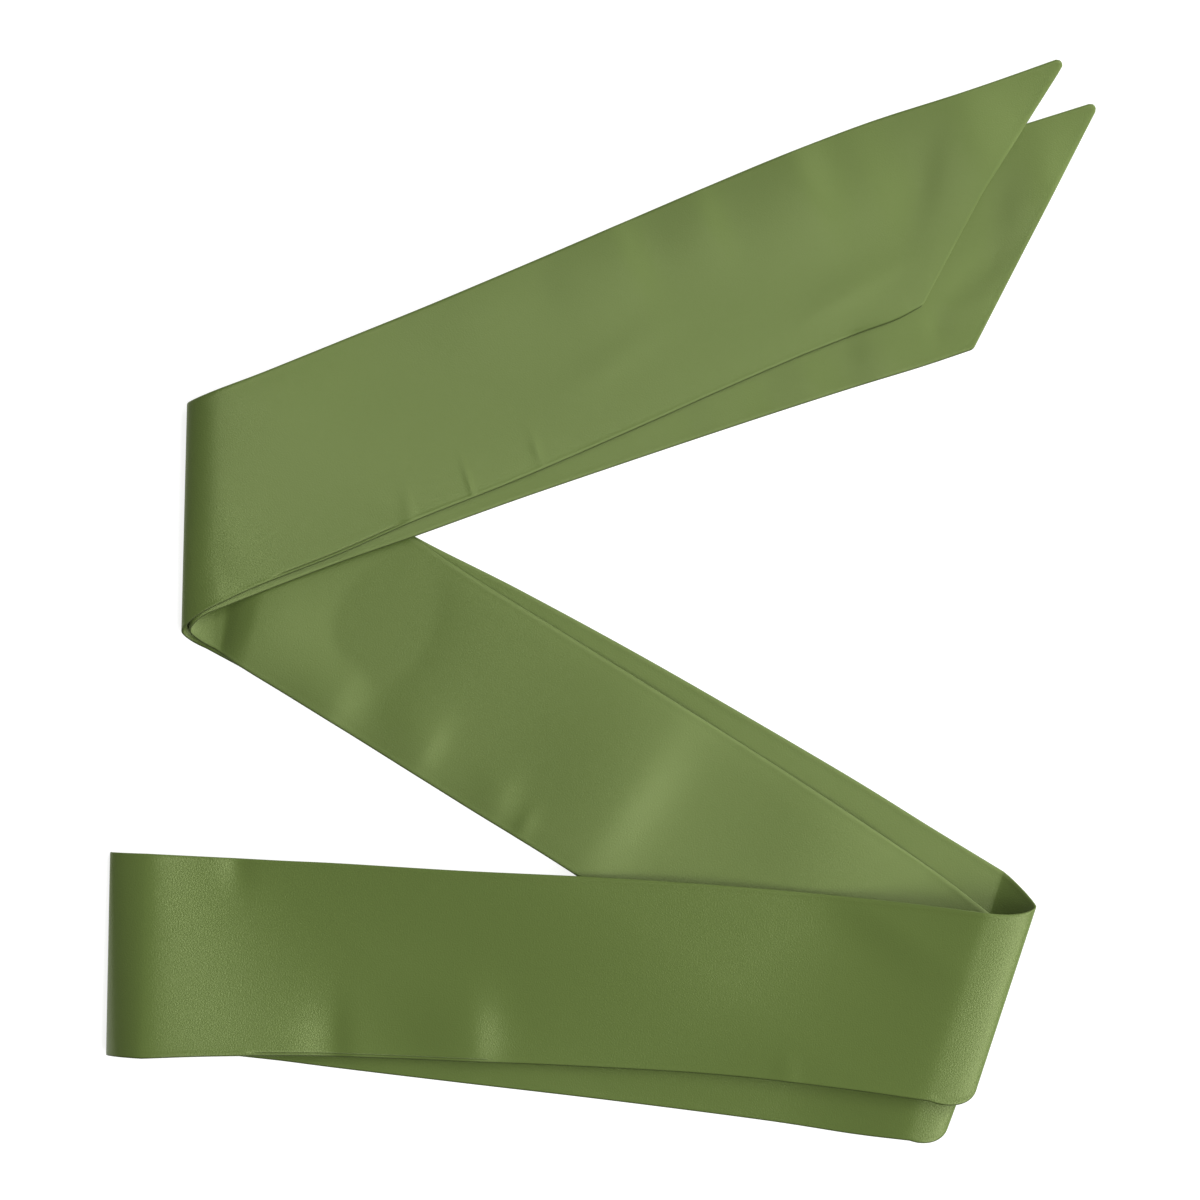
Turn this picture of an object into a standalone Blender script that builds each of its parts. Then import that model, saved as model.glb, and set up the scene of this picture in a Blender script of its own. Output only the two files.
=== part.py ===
"""A satin sash, folded in half and laid on a table in a zigzag of three legs.

The sash is one long flat tube of cloth: two plies sewn along both edges and turned, so that they lie
on each other as one wall. Folding it in half gives two strands that run together. The outer strand
wraps round the outside of both hairpin turns, and the inner strand lies inside it. From its folded
end at the lower left the pair runs right (the base leg), turns and runs back up left (the middle
leg), turns again and runs up right to the two pointed ends (the tail leg). At both turns the later
leg crosses on top of the middle leg.

Frame: metres, +Z up. The table is z = 0, +Y is away from the reader, and the origin is at the centre
of the sash's outline. The tables below are in millimetres.
"""

import bisect
import math
from collections import namedtuple

import bmesh
import bpy
from mathutils import Vector

MM = 0.001

# Driving sizes, in millimetres
WALL = 1.2            # both plies with their seam allowance, as one wall
SEAM_GAP = 0.3        # between neighbouring pieces of the cloth
LAYER_GAP = 0.35      # between one layer and the next above it
PITCH = WALL + LAYER_GAP
ON_TABLE = WALL / 2   # height of the middle of a wall that lies on the table

# How far the cloth lifts before it crosses the edge of the leg below it
RISE_LENGTH = 46.0
CROSSING_LIFT = 2 * PITCH

# Facets: how many across each piece and round each half of a turn, and how long they are along a
# stretch that lies flat and along one that rises and falls, in millimetres
ROWS_ACROSS = 8
FACETS_ROUND_HALF = 5
FLAT_FACET = 24.0
CURVED_FACET = 11.0
LENGTH_STEPS = 400    # used to measure along a stretch

# Height of a turn's farthest reach, as a share of the height of its loop
CREST_SHARE = 0.46

# Share of the way across an end of the sash where it has its blunt angle
BOW_PEAK = 0.44

SATIN_COLOUR = (0.155, 0.205, 0.066, 1.0)
SATIN_ROUGHNESS = 0.42

# One section across the cloth: where its two edges lie on the table, and how far the line between
# them bows forwards, in millimetres. "low" is the edge nearer the reader, "high" the one farther off.
Section = namedtuple("Section", "low_x low_y high_x high_y bow", defaults=(0.0,))

# One hairpin turn of a strand: the section where its upper half starts, the section at its farthest
# reach, the section where its lower half ends, and how round the corner at each edge looks from above
# (0 is sharp and 1 is a quarter of an ellipse).
Turn = namedtuple("Turn", "upper crest lower round_low round_high")

BASE_TURN = Turn(
    upper=Section(-229.5, -228.0, -227.0, -126.2),
    crest=Section(-246.7, -227.0, -244.8, -125.6),
    lower=Section(-233.0, -227.4, -230.5, -126.8),
    round_low=0.3,
    round_high=0.3,
)
RIGHT_TURN_OUTER = Turn(
    upper=Section(170.5, -251.3, 203.0, -157.8),
    crest=Section(186.2, -244.9, 216.0, -152.0),
    lower=Section(168.5, -234.8, 200.0, -136.8),
    round_low=1.1,
    round_high=0.7,
)
RIGHT_TURN_INNER = Turn(
    upper=Section(155.5, -269.4, 190.5, -173.8),
    crest=Section(171.9, -264.2, 207.4, -167.8),
    lower=Section(155.0, -253.8, 194.0, -156.2),
    round_low=1.0,
    round_high=0.7,
)
LEFT_TURN_OUTER = Turn(
    upper=Section(-194.5, -4.8, -188.5, 105.4),
    crest=Section(-209.0, -16.0, -206.0, 98.6),
    lower=Section(-197.5, -24.0, -193.5, 91.7),
    round_low=0.4,
    round_high=0.1,
)
LEFT_TURN_INNER = Turn(
    upper=Section(-196.0, -6.5, -190.0, 102.6),
    crest=Section(-205.6, -16.0, -202.6, 95.8),
    lower=Section(-198.0, -21.0, -193.0, 94.4),
    round_low=0.5,
    round_high=0.2,
)

# Sections along each stretch, between the turns that close it
BASE_OUTER = [
    Section(-200.5, -227.3, -198.0, -127.8),
    Section(-165.5, -227.2, -160.5, -129.8),
    Section(-135.5, -227.7, -130.5, -131.2),
    Section(-75.5, -230.0, -69.5, -134.8),
    Section(-5.5, -233.0, 2.0, -138.2),
    Section(59.5, -236.9, 72.0, -143.0),
    Section(119.5, -243.4, 139.5, -149.3),
]
BASE_INNER = [
    Section(-200.5, -226.4, -198.0, -128.8),
    Section(-165.5, -229.5, -159.5, -131.0),
    Section(-130.5, -233.9, -119.5, -134.7),
    Section(-70.5, -241.1, -58.5, -142.3),
    Section(-0.5, -249.3, 11.5, -150.5),
    Section(79.5, -259.4, 92.0, -160.8),
    Section(124.5, -266.0, 144.5, -167.8),
]
MIDDLE_OUTER = [
    Section(124.5, -209.0, 165.5, -114.5),
    Section(69.5, -176.8, 118.5, -85.3),
    Section(-20.5, -124.3, 30.5, -34.0),
    Section(-90.5, -83.8, -39.5, 4.5),
    Section(-144.5, -53.0, -93.0, 32.0),
    Section(-172.5, -37.5, -145.5, 63.0),
]
MIDDLE_INNER = [
    Section(99.5, -214.8, 162.5, -132.3),
    Section(49.5, -180.8, 99.5, -90.3),
    Section(-11.5, -138.0, 42.0, -53.8),
    Section(-70.5, -101.3, -18.5, -16.3),
    Section(-120.5, -70.0, -68.0, 14.3),
    Section(-155.5, -48.3, -110.5, 42.8),
    Section(-178.0, -34.5, -150.5, 68.3),
]
TAIL_OUTER = [
    Section(-170.5, 7.3, -169.5, 113.4),
    Section(-130.5, 23.0, -146.5, 122.8),
    Section(-90.5, 40.5, -120.5, 133.5),
    Section(-40.5, 60.5, -80.5, 149.8),
    Section(19.5, 86.6, -20.5, 175.2),
    Section(59.5, 104.5, 29.5, 196.7),
    Section(99.5, 121.8, 84.5, 219.8),
    Section(129.5, 133.5, 133.5, 238.7),
    Section(147.0, 139.8, 182.0, 254.2, -1.4),
    Section(160.2, 146.8, 232.4, 270.4, -4.0),
]
TAIL_INNER = [
    Section(-169.5, 4.0, -169.5, 110.3),
    Section(-130.5, 18.8, -148.0, 118.0),
    Section(-90.5, 32.8, -122.5, 127.0),
    Section(-40.5, 50.8, -73.0, 144.5),
    Section(19.5, 71.3, -11.5, 165.3),
    Section(79.5, 91.3, 54.5, 187.5),
    Section(124.5, 105.8, 124.5, 210.3),
    Section(159.5, 116.5, 189.5, 231.0),
    Section(186.0, 125.4, 248.4, 249.5),
]

# A straight line on the table, through two points, that a crossing strand has to climb over
Line = namedtuple("Line", "x1 y1 x2 y2")
MIDDLE_LOW_EDGE = Line(155.0, -253.8, -11.5, -138.0)
MIDDLE_HIGH_EDGE = Line(-193.5, 95.5, -93.0, 33.5)

# How far a strand stands up at a turn, over the height it has away from it, and over what length
# it settles down again.
Bulge = namedtuple("Bulge", "height length")
BULGES = {
    "base": Bulge(6.0, 54.0),
    "right_outer": Bulge(8.6, 100.0),
    "right_inner": Bulge(6.6, 64.0),
    "left_outer": Bulge(5.8, 92.0),
    "left_inner": Bulge(3.4, 62.0),
    "right_inner_under": Bulge(0.6, 30.0),
    "left_inner_under": Bulge(1.0, 26.0),
}


def settle(distance, bulge):
    """Height left of a bulge at this distance from where it is full."""
    share = min(max(distance / bulge.length, 0.0), 1.0)
    return bulge.height * 0.5 * (1.0 + math.cos(math.pi * share))


def smooth_step(share):
    share = min(max(share, 0.0), 1.0)
    return share * share * (3.0 - 2.0 * share)


def side_of(line, x, y):
    """Distance from a line, positive to the left of the way it runs."""
    dx, dy = line.x2 - line.x1, line.y2 - line.y1
    return (dx * (y - line.y1) - dy * (x - line.x1)) / math.hypot(dx, dy)


def distance_to_section(section, x, y):
    """Distance of a point from the straight line through a section's two ends."""
    return abs(side_of(Line(*section[:4]), x, y))


def crossing(edge, x, y):
    """Lift of a strand that crosses the middle leg, whose edge it has to be over by."""
    return CROSSING_LIFT * smooth_step(1.0 - side_of(edge, x, y) / RISE_LENGTH)


def base_outer_height(x, y):
    lift = PITCH + crossing(MIDDLE_LOW_EDGE, x, y)
    lift += settle(distance_to_section(BASE_TURN.upper, x, y), BULGES["base"])
    lift += settle(distance_to_section(RIGHT_TURN_OUTER.upper, x, y), BULGES["right_outer"])
    return ON_TABLE + lift


def base_inner_height(x, y):
    lift = crossing(MIDDLE_LOW_EDGE, x, y)
    lift += settle(distance_to_section(RIGHT_TURN_INNER.upper, x, y), BULGES["right_inner"])
    return ON_TABLE + lift


def middle_outer_height(x, y):
    return ON_TABLE


def middle_inner_height(x, y):
    lift = PITCH
    lift += settle(distance_to_section(RIGHT_TURN_INNER.lower, x, y), BULGES["right_inner_under"])
    lift += settle(distance_to_section(LEFT_TURN_INNER.lower, x, y), BULGES["left_inner_under"])
    return ON_TABLE + lift


def tail_outer_height(x, y):
    lift = PITCH + crossing(MIDDLE_HIGH_EDGE, x, y)
    lift += settle(distance_to_section(LEFT_TURN_OUTER.upper, x, y), BULGES["left_outer"])
    return ON_TABLE + lift


def tail_inner_height(x, y):
    lift = crossing(MIDDLE_HIGH_EDGE, x, y)
    lift += settle(distance_to_section(LEFT_TURN_INNER.upper, x, y), BULGES["left_inner"])
    return ON_TABLE + lift


def on_section(section, across):
    """The point on the table at this share of the way across a section, bow included."""
    x = section.low_x + (section.high_x - section.low_x) * across
    y = section.low_y + (section.high_y - section.low_y) * across
    dx, dy = section.high_x - section.low_x, section.high_y - section.low_y
    length = math.hypot(dx, dy)
    push = section.bow * min(across / BOW_PEAK, (1.0 - across) / (1.0 - BOW_PEAK))
    return x + push * dy / length, y - push * dx / length


def between_sections(sections, along):
    """The section at a share of the way along a run of sections, on smooth curves through them."""
    spans = len(sections) - 1
    index = min(int(along * spans), spans - 1)
    t = along * spans - index
    before = sections[max(index - 1, 0)]
    start, end = sections[index], sections[index + 1]
    after = sections[min(index + 2, spans)]
    values = []
    for p0, p1, p2, p3 in zip(before, start, end, after):
        if index == 0:
            p0 = 2.0 * p1 - p2
        if index == spans - 1:
            p3 = 2.0 * p2 - p1
        values.append(
            p1
            + 0.5 * t * (p2 - p0)
            + t * t * (p0 - 2.5 * p1 + 2.0 * p2 - 0.5 * p3)
            + t * t * t * (1.5 * (p1 - p2) + 0.5 * (p3 - p0))
        )
    return Section(*values)


def stations(sections, facet):
    """Shares along a run of sections, about a facet apart, half a seam gap in from both ends."""
    middles = []
    for i in range(LENGTH_STEPS + 1):
        middles.append(Vector(on_section(between_sections(sections, i / LENGTH_STEPS), 0.5)))
    lengths = [0.0]
    for first, second in zip(middles, middles[1:]):
        lengths.append(lengths[-1] + (second - first).length)
    start, end = SEAM_GAP / 2, lengths[-1] - SEAM_GAP / 2
    count = max(2, round((end - start) / facet))
    shares = []
    for i in range(count + 1):
        wanted = start + (end - start) * i / count
        j = bisect.bisect_left(lengths, wanted)
        part = (wanted - lengths[j - 1]) / (lengths[j] - lengths[j - 1])
        shares.append((j - 1 + part) / LENGTH_STEPS)
    return shares


def leg_points(sections, height, facet):
    """Rows of points through the middle of the wall of a straight stretch."""
    rows = []
    for along in stations(sections, facet):
        section = between_sections(sections, along)
        row = []
        for j in range(ROWS_ACROSS + 1):
            x, y = on_section(section, j / ROWS_ACROSS)
            row.append(Vector((x, y, height(x, y))))
        rows.append(row)
    return rows


def quarter_point(tangent, crest, outwards, roundness, angle):
    """A point of a quarter round that leaves the flat at tangent and stands upright at crest."""
    span = tangent - crest
    depth = span.dot(outwards)
    rise = Vector((0.0, 0.0, span.z))
    sideways = span - outwards * depth - rise
    back = 1.0 - math.sin(angle)
    aside = roundness * math.cos(angle) + (1.0 - roundness) * back
    return crest + outwards * (depth * back) + sideways * aside + rise * math.cos(angle)


def quarter_angles(tangent, crest):
    """Angles from just inside the seam at the tangent section, a quarter turn to the crest."""
    start = 0.5 * SEAM_GAP / (tangent - crest).length
    step = (math.pi / 2 - start) / FACETS_ROUND_HALF
    return [start + step * i for i in range(FACETS_ROUND_HALF + 1)]


def turn_points(turn, upper_height, lower_height):
    """Rows of points through the middle of the wall of a hairpin turn, from its upper half down."""
    axis = Vector((turn.crest.high_x - turn.crest.low_x, turn.crest.high_y - turn.crest.low_y, 0.0))
    outwards = axis.normalized().cross(Vector((0.0, 0.0, 1.0)))
    columns = []
    for j in range(ROWS_ACROSS + 1):
        share = j / ROWS_ACROSS
        roundness = turn.round_low + (turn.round_high - turn.round_low) * share
        ux, uy = on_section(turn.upper, share)
        lx, ly = on_section(turn.lower, share)
        cx, cy = on_section(turn.crest, share)
        upper = Vector((ux, uy, upper_height(ux, uy)))
        lower = Vector((lx, ly, lower_height(lx, ly)))
        crest = Vector((cx, cy, lower.z + CREST_SHARE * (upper.z - lower.z)))
        column = []
        for angle in quarter_angles(upper, crest):
            column.append(quarter_point(upper, crest, outwards, roundness, angle))
        for angle in reversed(quarter_angles(lower, crest)[:-1]):
            column.append(quarter_point(lower, crest, outwards, roundness, angle))
        columns.append(column)
    return list(zip(*columns))


def satin_material(name):
    material = bpy.data.materials.new(name)
    material.use_nodes = True
    shader = material.node_tree.nodes["Principled BSDF"]
    shader.inputs["Base Color"].default_value = SATIN_COLOUR
    shader.inputs["Roughness"].default_value = SATIN_ROUGHNESS
    shader.inputs["Metallic"].default_value = 0.0
    return material


def cloth_object(name, rows, parent):
    """A named wall of cloth: the rows of points as a sheet, made solid to both sides."""
    sheet = bmesh.new()
    grid = [[sheet.verts.new(point * MM) for point in row] for row in rows]
    for row, following in zip(grid, grid[1:]):
        for j in range(len(row) - 1):
            sheet.faces.new((row[j], following[j], following[j + 1], row[j + 1]))
    mesh = bpy.data.meshes.new(name)
    sheet.to_mesh(mesh)
    sheet.free()
    mesh.shade_smooth()
    mesh.materials.append(satin_material(name + "_satin"))
    made = bpy.data.objects.new(name, mesh)
    made.parent = parent
    bpy.context.scene.collection.objects.link(made)
    wall = made.modifiers.new("wall", "SOLIDIFY")
    wall.thickness = WALL * MM
    wall.offset = 0.0
    wall.use_even_offset = True


def main():
    for old in list(bpy.data.objects):
        bpy.data.objects.remove(old)
    sash = bpy.data.objects.new("sash", None)
    bpy.context.scene.collection.objects.link(sash)

    base_outer = [BASE_TURN.upper, *BASE_OUTER, RIGHT_TURN_OUTER.upper]
    base_inner = [BASE_TURN.lower, *BASE_INNER, RIGHT_TURN_INNER.upper]
    middle_outer = [RIGHT_TURN_OUTER.lower, *MIDDLE_OUTER, LEFT_TURN_OUTER.lower]
    middle_inner = [RIGHT_TURN_INNER.lower, *MIDDLE_INNER, LEFT_TURN_INNER.lower]
    tail_outer = [LEFT_TURN_OUTER.upper, *TAIL_OUTER]
    tail_inner = [LEFT_TURN_INNER.upper, *TAIL_INNER]
    legs = {
        "base_outer": (base_outer, base_outer_height, CURVED_FACET),
        "base_inner": (base_inner, base_inner_height, CURVED_FACET),
        "middle_outer": (middle_outer, middle_outer_height, FLAT_FACET),
        "middle_inner": (middle_inner, middle_inner_height, CURVED_FACET),
        "tail_outer": (tail_outer, tail_outer_height, CURVED_FACET),
        "tail_inner": (tail_inner, tail_inner_height, CURVED_FACET),
    }
    for name, (sections, height, facet) in legs.items():
        cloth_object(name, leg_points(sections, height, facet), sash)

    turns = {
        "base_turn": (BASE_TURN, base_outer_height, base_inner_height),
        "right_turn_outer": (RIGHT_TURN_OUTER, base_outer_height, middle_outer_height),
        "right_turn_inner": (RIGHT_TURN_INNER, base_inner_height, middle_inner_height),
        "left_turn_outer": (LEFT_TURN_OUTER, tail_outer_height, middle_outer_height),
        "left_turn_inner": (LEFT_TURN_INNER, tail_inner_height, middle_inner_height),
    }
    for name, (turn, upper_height, lower_height) in turns.items():
        cloth_object(name, turn_points(turn, upper_height, lower_height), sash)


main()
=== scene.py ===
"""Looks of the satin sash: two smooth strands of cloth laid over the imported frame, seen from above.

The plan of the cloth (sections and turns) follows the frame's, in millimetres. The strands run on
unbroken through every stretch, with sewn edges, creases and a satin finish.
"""

import math
from collections import namedtuple

import bpy
import numpy as np
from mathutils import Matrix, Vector


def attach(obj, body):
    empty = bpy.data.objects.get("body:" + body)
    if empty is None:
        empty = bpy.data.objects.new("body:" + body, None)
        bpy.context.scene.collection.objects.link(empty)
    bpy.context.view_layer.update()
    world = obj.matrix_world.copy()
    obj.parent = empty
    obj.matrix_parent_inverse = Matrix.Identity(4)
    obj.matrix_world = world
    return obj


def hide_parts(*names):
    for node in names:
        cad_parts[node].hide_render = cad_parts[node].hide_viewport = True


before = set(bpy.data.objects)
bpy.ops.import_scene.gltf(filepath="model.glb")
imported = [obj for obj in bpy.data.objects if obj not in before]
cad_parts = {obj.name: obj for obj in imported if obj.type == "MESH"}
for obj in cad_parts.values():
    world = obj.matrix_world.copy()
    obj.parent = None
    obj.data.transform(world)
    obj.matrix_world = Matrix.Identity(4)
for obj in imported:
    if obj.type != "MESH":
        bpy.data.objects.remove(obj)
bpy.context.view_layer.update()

MM = 0.001

# The cloth, in millimetres: its width, half the thickness of its two plies, and how far a point lies
# from the slanted end for each millimetre that it lies from it along the strand
WIDTH = 100.0
HALF_THICKNESS = 0.5
END_SLANT = 0.7

# Heights of the middle of the cloth: on the table, and the step from layer to layer
ON_TABLE = 0.55
PITCH = 1.15

# Where a leg climbs over the middle leg: how high it is lifted, and over what length
CROSSING_LIFT = 2 * PITCH + 1.9
RISE_LENGTH = 84.0

# How softly one strand comes to rest on another
SOFT_CONTACT = 0.1

# Spacing of the mesh along and across the cloth, its first step in from the columns near an edge, its
# least step before the middle, and its rows round each half of a turn
ROW_STEP = 2.4
COLUMN_STEP = 3.0
FIRST_STEP = 1.6
LAST_STEP = 1.0
TURN_ROWS = 16

# A straight line across a strand, seen from above, from its low edge to its high edge. The bow pushes
# it out along the strand, most at BOW_PEAK of the way across.
Section = namedtuple("Section", "low_x low_y high_x high_y bow", defaults=(0.0,))
BOW_PEAK = 0.44

# A hairpin turn: the section where its upper half starts, the one at its farthest reach, the one where
# its lower half ends, how round its two corners look from above, the height of its farthest reach as a
# share of its loop, and the fullness of its upper and lower halves (1 is an ellipse, 2 is straight)
Turn = namedtuple("Turn", "upper crest lower round_low round_high crest_share full_upper full_lower")

BASE_TURN = Turn(
    upper=Section(-228.5, -228.0, -226.5, -126.2),
    crest=Section(-246.7, -227.0, -244.8, -125.6),
    lower=Section(-236.0, -227.4, -233.5, -126.8),
    round_low=0.3,
    round_high=0.3,
    crest_share=0.22,
    full_upper=1.2,
    full_lower=1.0,
)
RIGHT_TURN_OUTER = Turn(
    upper=Section(163.0, -249.2, 195.0, -155.8),
    crest=Section(186.0, -244.9, 216.4, -151.8),
    lower=Section(168.5, -234.8, 201.2, -135.4),
    round_low=1.1,
    round_high=0.62,
    crest_share=0.88,
    full_upper=1.0,
    full_lower=1.6,
)
RIGHT_TURN_INNER = Turn(
    upper=Section(153.8, -269.2, 188.8, -173.5),
    crest=Section(171.9, -264.2, 207.4, -167.8),
    lower=Section(155.0, -253.8, 194.0, -156.2),
    round_low=1.0,
    round_high=0.7,
    crest_share=0.8,
    full_upper=1.0,
    full_lower=1.0,
)
LEFT_TURN_OUTER = Turn(
    upper=Section(-191.0, -2.2, -188.5, 106.2),
    crest=Section(-209.1, -16.0, -206.2, 98.6),
    lower=Section(-197.5, -24.0, -193.5, 91.7),
    round_low=0.4,
    round_high=0.1,
    crest_share=0.36,
    full_upper=1.0,
    full_lower=1.0,
)
LEFT_TURN_INNER = Turn(
    upper=Section(-196.0, -6.5, -190.0, 102.6),
    crest=Section(-205.2, -16.0, -202.2, 95.8),
    lower=Section(-193.0, -24.4, -188.5, 91.6),
    round_low=0.5,
    round_high=0.2,
    crest_share=0.46,
    full_upper=1.0,
    full_lower=1.4,
)
BASE_OUTER = [
    Section(-200.5, -227.3, -198.0, -127.8),
    Section(-165.5, -227.2, -160.5, -129.8),
    Section(-135.5, -227.7, -130.5, -131.2),
    Section(-75.5, -230.0, -69.5, -134.8),
    Section(-5.5, -233.0, 2.0, -138.2),
    Section(59.5, -236.9, 72.0, -143.0),
    Section(119.5, -243.4, 139.5, -149.3),
]
BASE_INNER = [
    Section(-200.5, -226.4, -198.0, -128.8),
    Section(-165.5, -229.5, -159.5, -131.0),
    Section(-130.5, -233.9, -119.5, -134.7),
    Section(-70.5, -241.1, -58.5, -142.3),
    Section(-0.5, -249.3, 11.5, -150.5),
    Section(79.5, -259.4, 92.0, -160.8),
    Section(124.5, -266.0, 144.5, -167.8),
]
MIDDLE_OUTER = [
    Section(124.5, -209.0, 165.9, -113.9),
    Section(69.5, -176.8, 118.8, -84.8),
    Section(-20.5, -124.3, 30.7, -33.6),
    Section(-90.5, -83.8, -39.4, 4.7),
    Section(-144.5, -53.0, -93.0, 32.0),
    Section(-172.5, -37.5, -145.5, 63.0),
]
MIDDLE_INNER = [
    Section(99.5, -214.8, 162.5, -132.3),
    Section(49.5, -180.8, 99.5, -90.3),
    Section(-11.5, -138.0, 42.0, -53.8),
    Section(-70.5, -101.3, -18.5, -16.3),
    Section(-120.5, -70.0, -68.0, 14.3),
    Section(-155.5, -48.3, -110.5, 42.8),
    Section(-178.0, -34.5, -150.5, 68.3),
]
TAIL_OUTER = [
    Section(-170.5, 7.3, -169.5, 113.4),
    Section(-130.5, 23.0, -146.5, 122.8),
    Section(-90.5, 40.5, -120.5, 133.5),
    Section(-40.5, 60.5, -80.5, 149.8),
    Section(19.5, 86.6, -20.5, 175.2),
    Section(59.5, 104.5, 29.5, 196.7),
    Section(99.5, 121.8, 84.5, 219.8),
    Section(129.5, 133.5, 133.5, 238.7),
    Section(147.0, 139.8, 182.0, 254.2, -1.4),
    Section(160.2, 146.8, 234.5, 272.8, -2.7),
]
TAIL_INNER = [
    Section(-169.5, 4.0, -169.5, 110.3),
    Section(-130.5, 18.8, -148.0, 118.0),
    Section(-90.5, 32.8, -122.5, 127.0),
    Section(-40.5, 50.8, -73.0, 144.5),
    Section(19.5, 71.3, -11.5, 165.3),
    Section(79.5, 91.3, 54.5, 187.5),
    Section(124.5, 105.8, 124.5, 210.3),
    Section(159.5, 116.5, 189.5, 231.0),
    Section(186.0, 125.4, 250.2, 250.2),
]

# The edges of the middle leg that the legs above it climb over
Line = namedtuple("Line", "x1 y1 x2 y2")
MIDDLE_LOW_EDGE = Line(155.0, -253.8, -11.5, -138.0)
MIDDLE_HIGH_EDGE = Line(-193.5, 95.5, -93.0, 33.5)

# How far a strand stands up at a turn, and over what length it settles again, at its low edge and its
# high edge
Bulge = namedtuple("Bulge", "height_low height_high length_low length_high")
BULGES = {
    "base": Bulge(14.0, 5.6, 150.0, 54.0),
    "right_outer": Bulge(8.6, 9.6, 120.0, 66.0),
    "right_inner": Bulge(6.6, 6.6, 64.0, 64.0),
    "left_outer": Bulge(1.4, 6.0, 60.0, 150.0),
    "left_inner": Bulge(3.4, 3.4, 62.0, 62.0),
    "right_inner_under": Bulge(1.8, 2.8, 34.0, 34.0),
    "left_inner_under": Bulge(1.0, 1.0, 26.0, 26.0),
}

# How the cloth falls away from a turn: the rounding of its crest in millimetres, and a power that
# makes the fall start at once when it is below 1
CREST_ROUND = 4.0
SETTLE_POWER = 0.6

# How high the edges of a strand stand, how much higher or lower its middle is, and how far in from
# the edges it gets most of that height
Puff = namedtuple("Puff", "edges middle reach")
PUFFS = {
    "base_outer": Puff(1.1, -0.2, 6.0),
    "base_inner": Puff(0.1, 0.5, 4.0),
    "middle_outer": Puff(0.0, 0.4, 4.0),
    "middle_inner": Puff(0.3, 0.9, 4.0),
    "tail_outer": Puff(0.4, 0.7, 4.0),
    "tail_inner": Puff(0.5, 0.7, 4.0),
}

# The seam allowance inside an edge stands up as a low rim: its height, its distance from the edge and
# half its width
Rim = namedtuple("Rim", "height inset reach")
RIM = Rim(0.2, 1.5, 1.3)

# Where the seam of an edge shows as a groove beside it: the part of the plan that it runs through, and
# the groove's distance from the edge, its depth and its width
Seam = namedtuple("Seam", "x_from x_to y_from y_to inset depth width")
SEAMS = {
    "base_outer": [Seam(-178, -52, -240, -205, 1.7, 0.8, 0.4)],
    "tail_outer": [Seam(-166, -96, -10, 55, 1.7, 0.7, 0.4)],
}
SEAM_FADE = 10.0

# Near an edge or an end: distances from it where the surface bends, in millimetres, and how much of
# the half thickness the cloth has there, with the least of it at the very end
NEAR_EDGE = (0.05, 0.12, 0.25, 0.5, 0.9, 1.3, 1.6, 1.9, 2.4, 3.2)
NEAR_SHARE = (0.42, 0.60, 0.78, 0.93, 1.0, 1.0, 1.0, 1.0, 1.0, 1.0)
END_SHARE = 0.08

# Points round an edge, between the two faces: their distances from the edge, and their heights above
# the middle of the cloth as shares of the half thickness. The middle two lie in the seam's groove.
LIP = ((0.02, 0.18), (0.12, 0.05), (0.12, -0.05), (0.02, -0.18))

# A distance from the edges that is well inside a strand, where its height shows none of its edges
INSIDE = 100.0

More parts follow.
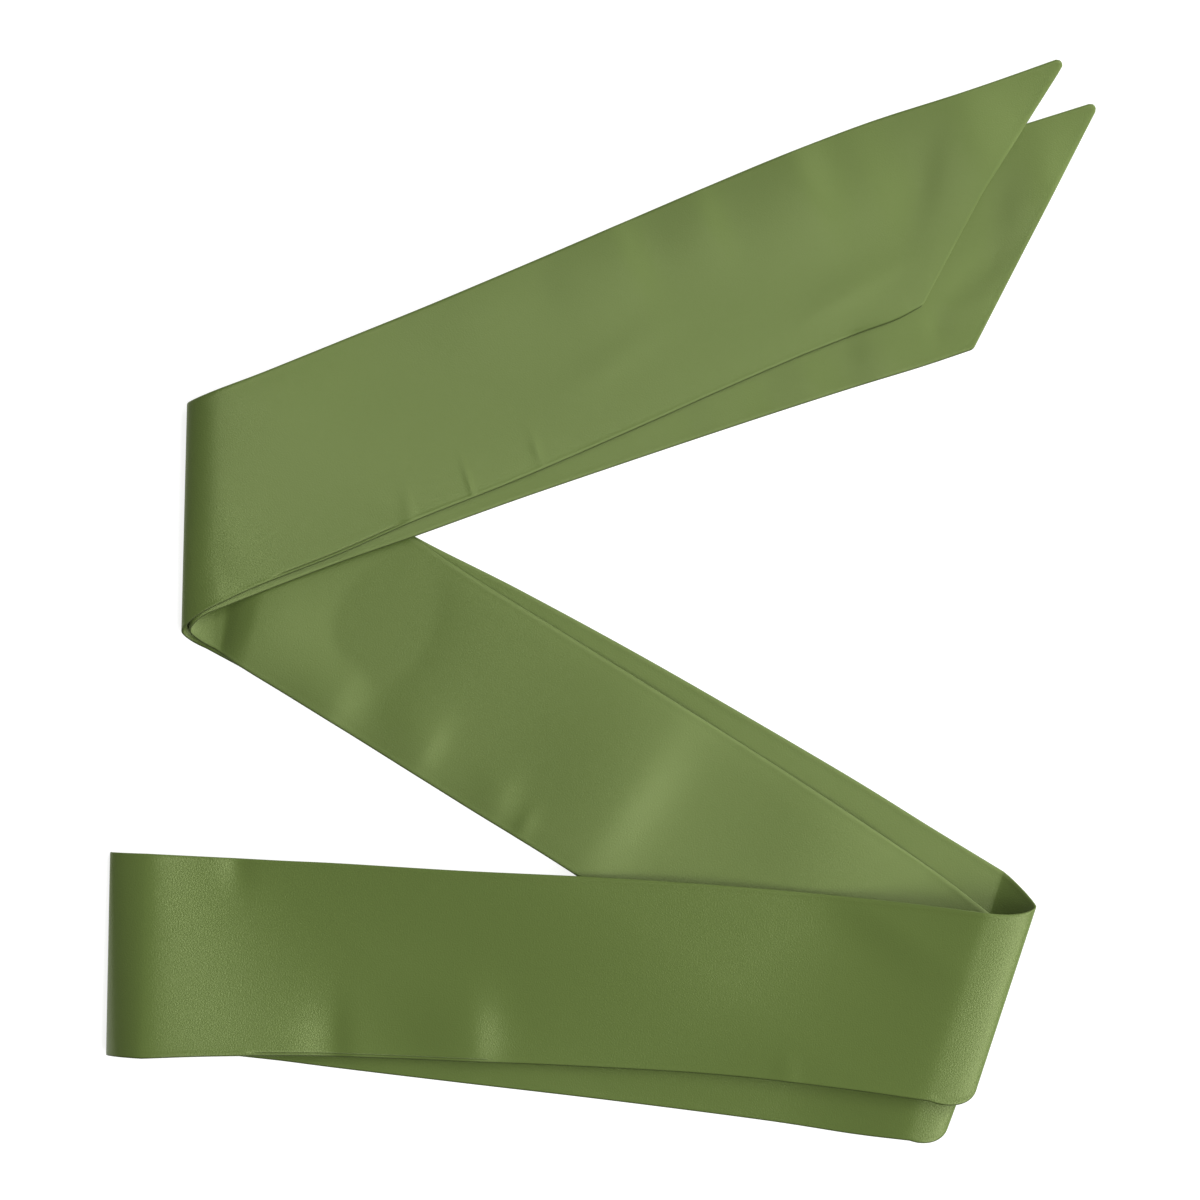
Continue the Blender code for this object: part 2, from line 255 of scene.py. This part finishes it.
# A soft ridge (height above 0) or trough of the cloth: its middle, the way its line runs in degrees,
# how far it reaches along that line and to the left and right of it, and its height
Crease = namedtuple("Crease", "x y heading reach left right height")
CREASES = {
    "base_outer": [
        Crease(-181, -131, 90, 12, 8, 7, -0.9),
        Crease(-134, -220, 90, 20, 14, 7, -1.2),
        Crease(-66, -218, 90, 24, 26, 14, 2.2),
        Crease(93, -235, 90, 7, 5, 5, 0.35),
        Crease(-22, -212, 90, 34, 40, 70, 1.2),
        Crease(148, -161, -33, 36, 110, 14, 2.4),
    ],
    "base_inner": [],
    "middle_outer": [],
    "middle_inner": [
        Crease(-190, -12, 80, 26, 9, 6, -2.6),
        Crease(-172, -12, 75, 30, 9, 22, 2.4),
        Crease(-134, -49, 59, 20, 28, 13, 2.6),
        Crease(-88, -72, 59, 16, 22, 8, 1.6),
        Crease(-51, -98, 59, 12, 14, 7, 1.1),
        Crease(-38, -112, 59, 8, 4, 4, 0.7),
        Crease(9, -97, 56, 56, 44, 20, 4.2),
        Crease(112, -122, 59, 40, 34, 40, 2.4),
        Crease(-112, -14, 59, 44, 26, 28, -2.8),
    ],
    "tail_outer": [
        Crease(-120, 118, 113, 30, 30, 40, -0.8),
        Crease(-63, 148, 113, 22, 22, 26, 0.9),
        Crease(-28, 155, 113, 14, 9, 9, -0.4),
        Crease(10, 170, 113, 24, 46, 11, 3.0),
        Crease(50, 189, 113, 20, 28, 10, 2.7),
        Crease(98, 206, 113, 28, 46, 16, 4.6),
        Crease(130, 210, 113, 26, 40, 16, 3.0),
        Crease(158, 205, 75, 34, 11, 10, -1.3),
        Crease(182, 230, 113, 34, 34, 26, 4.8),
        Crease(-192, 45, 113, 26, 12, 12, 0.5),
        Crease(9, 121, 36, 34, 9, 6, 0.6),
        Crease(125, 154, 30, 26, 9, 5, 0.9),
        Crease(-96, 44, 96, 13, 1.8, 2.2, 0.45),
        Crease(-66, 60, 106, 9, 1.8, 1.6, 0.4),
        Crease(-32, 75, 106, 7, 2.6, 2.2, 0.4),
    ],
    "tail_inner": [
        Crease(189, 164, 42, 26, 8, 8, -1.5),
        Crease(44, 90, 113, 14, 9, 7, -0.5),
        Crease(83, 105, 113, 14, 9, 8, -0.7),
        Crease(102, 112, 113, 14, 7, 8, 0.7),
        Crease(122, 116, 113, 14, 8, 9, -0.6),
        Crease(138, 124, 113, 14, 8, 12, 0.7),
        Crease(168, 137, 100, 8, 5, 6, -0.8),
        Crease(148, 124, 113, 26, 30, 26, 1.8),
        Crease(222, 200, 100, 34, 26, 16, 3.6),
        Crease(197, 192, 75, 22, 9, 9, -1.0),
    ],
}


def settle(section, x, y, bulge):
    """Height left of a bulge that is full at a section."""
    dx, dy = section.high_x - section.low_x, section.high_y - section.low_y
    across = ((x - section.low_x) * dx + (y - section.low_y) * dy) / (dx * dx + dy * dy)
    height = bulge.height_low + (bulge.height_high - bulge.height_low) * across
    length = bulge.length_low + (bulge.length_high - bulge.length_low) * across
    distance = np.hypot(distance_to_section(section, x, y), CREST_ROUND) - CREST_ROUND
    share = np.clip(distance / length, 0.0, 1.0) ** SETTLE_POWER
    return height * 0.5 * (1.0 + np.cos(np.pi * share))


def smooth_step(share):
    share = np.clip(share, 0.0, 1.0)
    return share * share * (3.0 - 2.0 * share)


def side_of(line, x, y):
    """Distance from a line, positive to the left of the way it runs."""
    dx, dy = line.x2 - line.x1, line.y2 - line.y1
    return (dx * (y - line.y1) - dy * (x - line.x1)) / math.hypot(dx, dy)


def distance_to_section(section, x, y):
    return np.abs(side_of(Line(*section[:4]), x, y))


def crossing(edge, x, y):
    """How far a leg is lifted by the middle leg, whose edge it climbs over."""
    return CROSSING_LIFT * smooth_step(1.0 - side_of(edge, x, y) / RISE_LENGTH)


def full_puff(name):
    """Height of a strand's middle above where it would lie flat."""
    return PUFFS[name].edges + PUFFS[name].middle


def relief(name, x, y, inset):
    """Height of a strand's own shape: its puff, its creases, and the rim and seams along its edges."""
    puff = PUFFS[name]
    total = puff.edges + puff.middle * (1.0 - np.exp(-inset / puff.reach)) + np.zeros_like(x)
    for crease in CREASES[name]:
        way_x, way_y = math.cos(math.radians(crease.heading)), math.sin(math.radians(crease.heading))
        along = ((x - crease.x) * way_x + (y - crease.y) * way_y) / crease.reach
        aside = (y - crease.y) * way_x - (x - crease.x) * way_y
        aside = aside / np.where(aside > 0.0, crease.left, crease.right)
        total += crease.height * np.exp(-along * along - aside * aside)
    total += RIM.height * np.exp(-(((inset - RIM.inset) / RIM.reach) ** 2))
    for seam in SEAMS.get(name, []):
        into = np.minimum(np.minimum(x - seam.x_from, seam.x_to - x) / SEAM_FADE, 1.0)
        inside = smooth_step(into) * (y > seam.y_from) * (y < seam.y_to)
        total -= seam.depth * inside * np.exp(-(((inset - seam.inset) / seam.width) ** 2))
    return total


def resting(height, support):
    """Height of a strand that wants to be at one height, but lies on what holds it up at another."""
    spare = height - support
    return support + 0.5 * (spare + np.sqrt(spare * spare + SOFT_CONTACT * SOFT_CONTACT))


def base_inner_height(x, y, inset):
    lift = crossing(MIDDLE_LOW_EDGE, x, y)
    lift += settle(RIGHT_TURN_INNER.upper, x, y, BULGES["right_inner"])
    return resting(ON_TABLE + lift + relief("base_inner", x, y, inset), ON_TABLE)


def base_outer_height(x, y, inset):
    lift = PITCH + full_puff("base_inner") + crossing(MIDDLE_LOW_EDGE, x, y)
    lift += settle(BASE_TURN.upper, x, y, BULGES["base"])
    lift += settle(RIGHT_TURN_OUTER.upper, x, y, BULGES["right_outer"])
    height = ON_TABLE + lift + relief("base_outer", x, y, inset)
    return resting(height, base_inner_height(x, y, INSIDE) + PITCH)


def middle_outer_height(x, y, inset):
    return resting(ON_TABLE + relief("middle_outer", x, y, inset), ON_TABLE)


def middle_inner_height(x, y, inset):
    lift = PITCH + full_puff("middle_outer")
    lift += settle(RIGHT_TURN_INNER.lower, x, y, BULGES["right_inner_under"])
    lift += settle(LEFT_TURN_INNER.lower, x, y, BULGES["left_inner_under"])
    height = ON_TABLE + lift + relief("middle_inner", x, y, inset)
    return resting(height, middle_outer_height(x, y, INSIDE) + PITCH)


def tail_inner_height(x, y, inset):
    lift = crossing(MIDDLE_HIGH_EDGE, x, y)
    lift += settle(LEFT_TURN_INNER.upper, x, y, BULGES["left_inner"])
    return resting(ON_TABLE + lift + relief("tail_inner", x, y, inset), ON_TABLE)


def tail_outer_height(x, y, inset):
    lift = PITCH + full_puff("tail_inner") + crossing(MIDDLE_HIGH_EDGE, x, y)
    lift += settle(LEFT_TURN_OUTER.upper, x, y, BULGES["left_outer"])
    height = ON_TABLE + lift + relief("tail_outer", x, y, inset)
    return resting(height, tail_inner_height(x, y, INSIDE) + PITCH)


def on_section(section, across):
    """Points of a section at these shares of the way across. A section may hold columns of values."""
    low_x, low_y, high_x, high_y, bow = section
    dx, dy = high_x - low_x, high_y - low_y
    push = bow * np.minimum(across / BOW_PEAK, (1.0 - across) / (1.0 - BOW_PEAK)) / np.hypot(dx, dy)
    return low_x + dx * across + push * dy, low_y + dy * across - push * dx


def between_sections(sections, along):
    """Section values at shares along a run of sections, on smooth curves through them."""
    table = np.array(sections, float)
    first = 2.0 * table[0] - table[1]
    last = 2.0 * table[-1] - table[-2]
    table = np.vstack([first, table, last])
    spans = len(sections) - 1
    index = np.minimum((along * spans).astype(int), spans - 1)
    t = (along * spans - index)[:, None]
    p0, p1, p2, p3 = (table[index + k] for k in range(4))
    return (
        p1
        + 0.5 * t * (p2 - p0)
        + t * t * (p0 - 2.5 * p1 + 2.0 * p2 - 0.5 * p3)
        + t * t * t * (1.5 * (p1 - p2) + 0.5 * (p3 - p0))
    )


def leg_points(sections, height, across, last=False, fine_rows=None):
    """Rows of points of a straight stretch. The last one has extra rows near its sewn end. fine_rows is
    a part of its length, from and to, with rows three times as close."""
    fine = np.linspace(0.0, 1.0, 2001)
    middle_x, middle_y = on_section(between_sections(sections, fine).T, 0.5)
    lengths = np.concatenate([[0.0], np.cumsum(np.hypot(np.diff(middle_x), np.diff(middle_y)))])
    full_length = lengths[-1]
    wanted = np.linspace(0.0, full_length, max(3, round(full_length / ROW_STEP)) + 1)
    if fine_rows:
        start, end = fine_rows
        outside = wanted[(wanted < start - 0.3 * ROW_STEP) | (wanted > end + 0.3 * ROW_STEP)]
        wanted = np.sort(np.concatenate([outside, np.arange(start, end, ROW_STEP / 3)]))
    if last:
        near_end = [full_length - distance for distance in NEAR_EDGE]
        before = wanted[wanted < min(near_end) - 0.5 * ROW_STEP]
        wanted = np.unique(np.concatenate([before, near_end, [full_length]]))
    along = np.interp(wanted, lengths, fine)
    values = between_sections(sections, along).T[:, :, None]
    x, y = on_section(values, across[None, :])
    inset = np.minimum(across, 1.0 - across)[None, :] * WIDTH + np.zeros_like(x)
    if last:
        inset = np.minimum(inset, END_SLANT * (full_length - wanted)[:, None])
    return np.stack([x, y, height(x, y, inset)], axis=2)


def turn_points(turn, upper_height, lower_height, across):
    """Rows of points round a hairpin turn, from its upper half down."""
    axis = np.array([turn.crest.high_x - turn.crest.low_x, turn.crest.high_y - turn.crest.low_y, 0.0])
    outwards = np.cross(axis / np.linalg.norm(axis), [0.0, 0.0, 1.0])
    roundness = (turn.round_low + (turn.round_high - turn.round_low) * across)[:, None]
    inset = np.minimum(across, 1.0 - across) * WIDTH

    def points(section, height):
        x, y = on_section(section, across)
        return np.stack([x, y, height(x, y, inset)], axis=1)

    upper = points(turn.upper, upper_height)
    lower = points(turn.lower, lower_height)
    crest_z = lower[:, 2] + turn.crest_share * (upper[:, 2] - lower[:, 2])
    crest = np.stack([*on_section(turn.crest, across), crest_z], axis=1)
    rows = []
    halves = (
        (upper, turn.full_upper, range(TURN_ROWS + 1)),
        (lower, turn.full_lower, range(TURN_ROWS - 1, -1, -1)),
    )
    for tangent, fullness, angles in halves:
        span = tangent - crest
        depth = span @ outwards
        rise = np.zeros_like(span)
        rise[:, 2] = span[:, 2]
        sideways = span - depth[:, None] * outwards - rise
        for i in angles:
            angle = math.pi / 2 * i / TURN_ROWS
            back = 1.0 - math.sin(angle) ** fullness
            up = math.cos(angle) ** fullness
            aside = roundness * up + (1.0 - roundness) * back
            rows.append(crest + back * depth[:, None] * outwards + sideways * aside + rise * up)
    return np.array(rows)


# The radii of the pointed and the blunt corner of a strand's end, seen from above, how many of the last
# rows they may move, and how many rows back a side edge gives its direction
TIP_RADIUS = 2.8
CORNER_RADIUS = 4.0
MOVED_ROWS = 40
ROWS_BACK = 16


def round_corner(grid, corner, beside, behind, radius):
    """Draws in the points near a corner, so that it becomes an arc seen from above. The point beside
    it is on the strand's end, and the one behind it is on a side edge."""
    beside, behind = (beside - corner)[:2], (behind - corner)[:2]
    corner = corner[:2]
    inwards = beside / np.linalg.norm(beside) + behind / np.linalg.norm(behind)
    inwards /= np.linalg.norm(inwards)
    half_angle = math.acos(inwards @ beside / np.linalg.norm(beside))
    centre = corner + inwards * radius / math.sin(half_angle)
    offset = grid[:, :, :2] - centre
    distance = np.maximum(np.linalg.norm(offset, axis=2), 1e-9)
    turned = np.arccos(np.clip(-(offset @ inwards) / distance, -1.0, 1.0))
    factor = np.cos(np.maximum(math.pi / 2 - half_angle - turned, 0.0))
    grid[:, :, :2] = centre + offset * factor[:, :, None]


def round_end(grid):
    """Rounds the pointed and the blunt corner of the last rows of a strand."""
    low, high = grid[-1, 0].copy(), grid[-1, -1].copy()
    quarter = grid.shape[1] // 4
    rows = grid[-MOVED_ROWS:]
    round_corner(rows, high, grid[-1, -1 - quarter].copy(), grid[-ROWS_BACK, -1].copy(), TIP_RADIUS)
    round_corner(rows, low, grid[-1, quarter].copy(), grid[-ROWS_BACK, 0].copy(), CORNER_RADIUS)


def across_shares():
    """Shares across the cloth of the columns of its upper face, low edge first."""
    plain = np.arange(NEAR_EDGE[-1] + FIRST_STEP, WIDTH / 2 - LAST_STEP, COLUMN_STEP)
    half = np.concatenate([NEAR_EDGE, plain])
    return np.concatenate([half, [WIDTH / 2], WIDTH - half[::-1]]) / WIDTH


def joined(*stretches):
    """One run of rows from stretches that share their end rows."""
    rows = [stretches[0]]
    for stretch in stretches[1:]:
        rows.append(stretch[1:])
    return np.concatenate(rows)


def normals_of(grid):
    """Upward normals of the cloth at the points of a grid, where it lies right side up."""
    along = np.gradient(grid, axis=0)
    across = np.gradient(grid, axis=1)
    normal = np.cross(across, along)
    return normal / np.linalg.norm(normal, axis=2, keepdims=True)


def lip_points(edge, beside, up):
    """Points round an edge of the cloth, from the face that up leads to, round to the other face."""
    outward = edge - beside
    outward /= np.linalg.norm(outward, axis=1, keepdims=True)
    points = [edge + outward * (NEAR_EDGE[0] - inset) + up * share for inset, share in LIP]
    return np.stack(points, axis=1)


def end_cap(upper, lip_high, lower, lip_low):
    """Faces that close an end of the cloth, from the vertex numbers round it."""
    opposite = lower[::-1]
    strips = [[upper[j], upper[j + 1], opposite[j + 1], opposite[j]] for j in range(len(upper) - 1)]
    high_side = [upper[-1], *lip_high, lower[0]]
    low_side = [lower[-1], *lip_low, upper[0]]
    return strips + [high_side, low_side]


def cloth_mesh(name, grid, shares):
    """A closed double ply of cloth round a grid of middle points, as an object."""
    normal = normals_of(grid)
    rows, columns, _ = grid.shape
    edge_distance = np.minimum(shares, 1.0 - shares) * WIDTH
    row_steps = np.linalg.norm(np.diff(grid[:, columns // 2], axis=0), axis=1)
    run = np.concatenate([[0.0], np.cumsum(row_steps)])
    end_share = np.interp(run[-1] - run, (0.0, *NEAR_EDGE), (END_SHARE, *NEAR_SHARE))[:, None]
    half = np.interp(edge_distance, NEAR_EDGE, NEAR_SHARE) * HALF_THICKNESS
    lift = normal * (half * end_share)[:, :, None]
    up_high = normal[:, -1] * HALF_THICKNESS * end_share
    up_low = normal[:, 0] * HALF_THICKNESS * end_share

    # Each ring of vertices runs over the upper face, round the high edge, back under the cloth and
    # round the low edge
    lip_high = lip_points(grid[:, -1], grid[:, -2], up_high)
    lip_low = lip_points(grid[:, 0], grid[:, 1], -up_low)
    rings = np.concatenate([grid + lift, lip_high, (grid - lift)[:, ::-1], lip_low], axis=1)
    count = rings.shape[1]
    index = np.arange(rows * count).reshape(rows, count)
    after = np.roll(index, -1, axis=1)
    faces = np.stack([index[:-1], after[:-1], after[1:], index[1:]], axis=2).reshape(-1, 4).tolist()
    splits = (columns, columns + len(LIP), 2 * columns + len(LIP))
    faces += [face[::-1] for face in end_cap(*np.split(index[0], splits))]
    faces += end_cap(*np.split(index[-1], splits))
    mesh = bpy.data.meshes.new(name)
    mesh.from_pydata((rings.reshape(-1, 3) * MM).tolist(), [], faces)

    across = np.concatenate([shares, np.ones(len(LIP)), shares[::-1], np.zeros(len(LIP))])
    lengths = np.linalg.norm(np.diff(rings, axis=0), axis=2)
    u = np.broadcast_to(across[None, :], (rows, count))
    v = np.concatenate([np.zeros((1, count)), np.cumsum(lengths, axis=0)]) / WIDTH
    loops = np.zeros(len(mesh.loops), dtype=np.int32)
    mesh.loops.foreach_get("vertex_index", loops)
    uv = np.stack([u.reshape(-1)[loops], v.reshape(-1)[loops]], axis=1)
    layer = mesh.uv_layers.new(name="cloth")
    layer.data.foreach_set("uv", uv.astype(np.float32).ravel())
    mesh.shade_smooth()
    mesh.validate()
    made = bpy.data.objects.new(name, mesh)
    bpy.context.scene.collection.objects.link(made)
    return made


SATIN_COLOUR = (0.102, 0.146, 0.037, 1.0)
SHEEN_COLOUR = (0.88, 1.0, 0.54, 1.0)

# A dark line of painted shade along the low edge, where the rolled seam turns away from the light: its
# grey, and the shares of the width between which it fades
EDGE_SHADE_GREY = (0.4, 0.4, 0.4, 1.0)
EDGE_SHADE_FROM = 0.004
EDGE_SHADE_TO = 0.009


def satin():
    """Green satin whose sheen is stretched along the cloth's own directions, with painted shade on its
    low edge.
    """
    material = bpy.data.materials.new("green_satin")
    material.use_nodes = True
    nodes, links = material.node_tree.nodes, material.node_tree.links
    shader = nodes["Principled BSDF"]
    shader.inputs["Roughness"].default_value = 0.44
    shader.inputs["Anisotropic"].default_value = 1.0
    shader.inputs["IOR"].default_value = 1.44
    shader.inputs["Specular IOR Level"].default_value = 1.0
    tangent = nodes.new("ShaderNodeTangent")
    tangent.direction_type = "UV_MAP"
    tangent.uv_map = "cloth"
    links.new(tangent.outputs["Tangent"], shader.inputs["Tangent"])

    uv = nodes.new("ShaderNodeUVMap")
    uv.uv_map = "cloth"
    parts = nodes.new("ShaderNodeSeparateXYZ")
    links.new(uv.outputs["UV"], parts.inputs["Vector"])
    # Painted shade: a ramp across the width that darkens the cloth along its low edge
    edge = nodes.new("ShaderNodeValToRGB")
    edge.color_ramp.elements[0].position = EDGE_SHADE_FROM
    edge.color_ramp.elements[0].color = EDGE_SHADE_GREY
    edge.color_ramp.elements[1].position = EDGE_SHADE_TO
    edge.color_ramp.elements[1].color = (1.0, 1.0, 1.0, 1.0)
    links.new(parts.outputs["X"], edge.inputs["Fac"])
    # The colour and the sheen are both multiplied by the painted shade of the low edge
    for socket, colour in (("Base Color", SATIN_COLOUR), ("Specular Tint", SHEEN_COLOUR)):
        tint = nodes.new("ShaderNodeMix")
        tint.data_type = "RGBA"
        tint.blend_type = "MULTIPLY"
        tint.inputs["Factor"].default_value = 1.0
        tint.inputs["A"].default_value = colour
        links.new(edge.outputs["Color"], tint.inputs["B"])
        links.new(tint.outputs["Result"], shader.inputs[socket])

    # The fine unevenness of the threads
    slubs = nodes.new("ShaderNodeTexNoise")
    slubs.inputs["Scale"].default_value = 120.0
    slubs.inputs["Detail"].default_value = 2.0
    bump = nodes.new("ShaderNodeBump")
    bump.inputs["Strength"].default_value = 0.5
    bump.inputs["Distance"].default_value = 0.0002
    links.new(uv.outputs["UV"], slubs.inputs["Vector"])
    links.new(slubs.outputs["Fac"], bump.inputs["Height"])
    links.new(bump.outputs["Normal"], shader.inputs["Normal"])
    return material


FLOOR_REACH = 12.0

# Soft rectangular lights that face the origin: where they stand, in degrees and metres, how large
# they are, and their power in watts
Light = namedtuple("Light", "name azimuth elevation distance width height power")
LIGHTS = [
    Light("key", -4.0, 64.0, 3.2, 7.0, 1.3, 84.0),
    Light("low", 0.0, 20.0, 3.2, 6.1, 2.0, 50.0),
    Light("wing", -62.0, 45.0, 2.2, 1.0, 1.4, 21.0),
    Light("fill", 40.0, 20.0, 1.6, 1.3, 1.4, 18.5),
]


def area_light(light):
    """Adds a light of the table above."""
    data = bpy.data.lights.new(light.name, "AREA")
    data.shape = "RECTANGLE"
    data.size = light.width
    data.size_y = light.height
    data.energy = light.power
    azimuth, elevation = math.radians(light.azimuth), math.radians(light.elevation)
    made = bpy.data.objects.new(light.name, data)
    made.location = light.distance * Vector((
        math.cos(elevation) * math.cos(azimuth),
        math.cos(elevation) * math.sin(azimuth),
        math.sin(elevation),
    ))
    made.rotation_euler = (-made.location).to_track_quat("-Z", "Y").to_euler()
    bpy.context.scene.collection.objects.link(made)


def floor_plane():
    """A plain white floor that lights the sash a little from below."""
    low, high = -FLOOR_REACH, FLOOR_REACH
    corners = [(low, low, 0), (high, low, 0), (high, high, 0), (low, high, 0)]
    mesh = bpy.data.meshes.new("floor")
    mesh.from_pydata(corners, [], [(0, 1, 2, 3)])
    material = bpy.data.materials.new("paper")
    material.use_nodes = True
    shader = material.node_tree.nodes["Principled BSDF"]
    shader.inputs["Base Color"].default_value = (0.35, 0.35, 0.35, 1.0)
    shader.inputs["Emission Color"].default_value = (1.0, 1.0, 1.0, 1.0)
    shader.inputs["Emission Strength"].default_value = 0.85
    shader.inputs["Roughness"].default_value = 0.9
    shader.inputs["Specular IOR Level"].default_value = 0.0
    mesh.materials.append(material)
    floor = bpy.data.objects.new("floor", mesh)
    bpy.context.scene.collection.objects.link(floor)


def studio():
    """The floor, the lights and a dim white world."""
    world = bpy.data.worlds.new("studio")
    world.use_nodes = True
    background = world.node_tree.nodes["Background"]
    background.inputs["Color"].default_value = (1.0, 1.0, 1.0, 1.0)
    background.inputs["Strength"].default_value = 0.13
    bpy.context.scene.world = world
    floor_plane()
    for light in LIGHTS:
        area_light(light)


# The photo is 0.6 m across, and its middle lies a little off the sash's. All these are in metres but
# the lens and the sensor, in millimetres.
PHOTO_WIDTH = 0.6
PHOTO_MIDDLE = (-0.0005, 0.00025)
LENS = 200.0
SENSOR_WIDTH = 36.0


def camera():
    """A long lens straight above the sash."""
    data = bpy.data.cameras.new("camera")
    data.lens = LENS
    data.sensor_width = SENSOR_WIDTH
    made = bpy.data.objects.new("camera", data)
    made.location = (*PHOTO_MIDDLE, PHOTO_WIDTH * LENS / SENSOR_WIDTH)
    bpy.context.scene.collection.objects.link(made)
    bpy.context.scene.camera = made
    bpy.context.scene.view_settings.view_transform = "Standard"


# The part of the tail's length where its narrow creases lie
NARROW_CREASES = (96.0, 172.0)


def outer_strand_points(across):
    base_turn = turn_points(BASE_TURN, base_outer_height, base_inner_height, across)
    base = [BASE_TURN.upper, *BASE_OUTER, RIGHT_TURN_OUTER.upper]
    middle = [RIGHT_TURN_OUTER.lower, *MIDDLE_OUTER, LEFT_TURN_OUTER.lower]
    tail = [LEFT_TURN_OUTER.upper, *TAIL_OUTER]
    return joined(
        base_turn[::-1],
        leg_points(base, base_outer_height, across),
        turn_points(RIGHT_TURN_OUTER, base_outer_height, middle_outer_height, across),
        leg_points(middle, middle_outer_height, across),
        turn_points(LEFT_TURN_OUTER, tail_outer_height, middle_outer_height, across)[::-1],
        leg_points(tail, tail_outer_height, across, last=True, fine_rows=NARROW_CREASES),
    )


def inner_strand_points(across):
    base = [BASE_TURN.lower, *BASE_INNER, RIGHT_TURN_INNER.upper]
    middle = [RIGHT_TURN_INNER.lower, *MIDDLE_INNER, LEFT_TURN_INNER.lower]
    tail = [LEFT_TURN_INNER.upper, *TAIL_INNER]
    return joined(
        leg_points(base, base_inner_height, across),
        turn_points(RIGHT_TURN_INNER, base_inner_height, middle_inner_height, across),
        leg_points(middle, middle_inner_height, across),
        turn_points(LEFT_TURN_INNER, tail_inner_height, middle_inner_height, across)[::-1],
        leg_points(tail, tail_inner_height, across, last=True),
    )


def strand(name, points, shares, material):
    """A strand of the sash, sewn at its end, as a piece that rides on the frame."""
    round_end(points)
    piece = cloth_mesh(name, points, shares)
    piece.data.materials.append(material)
    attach(piece, "root")
    return piece


def main():
    camera()
    studio()
    shares = across_shares()
    material = satin()
    outer = strand("outer_strand", outer_strand_points(shares), shares, material)
    inner = strand("inner_strand", inner_strand_points(shares), shares, material)
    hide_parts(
        "base_turn", "base_outer", "right_turn_outer", "middle_outer", "left_turn_outer", "tail_outer",
    )
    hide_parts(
        "base_inner", "right_turn_inner", "middle_inner", "left_turn_inner", "tail_inner",
    )


main()
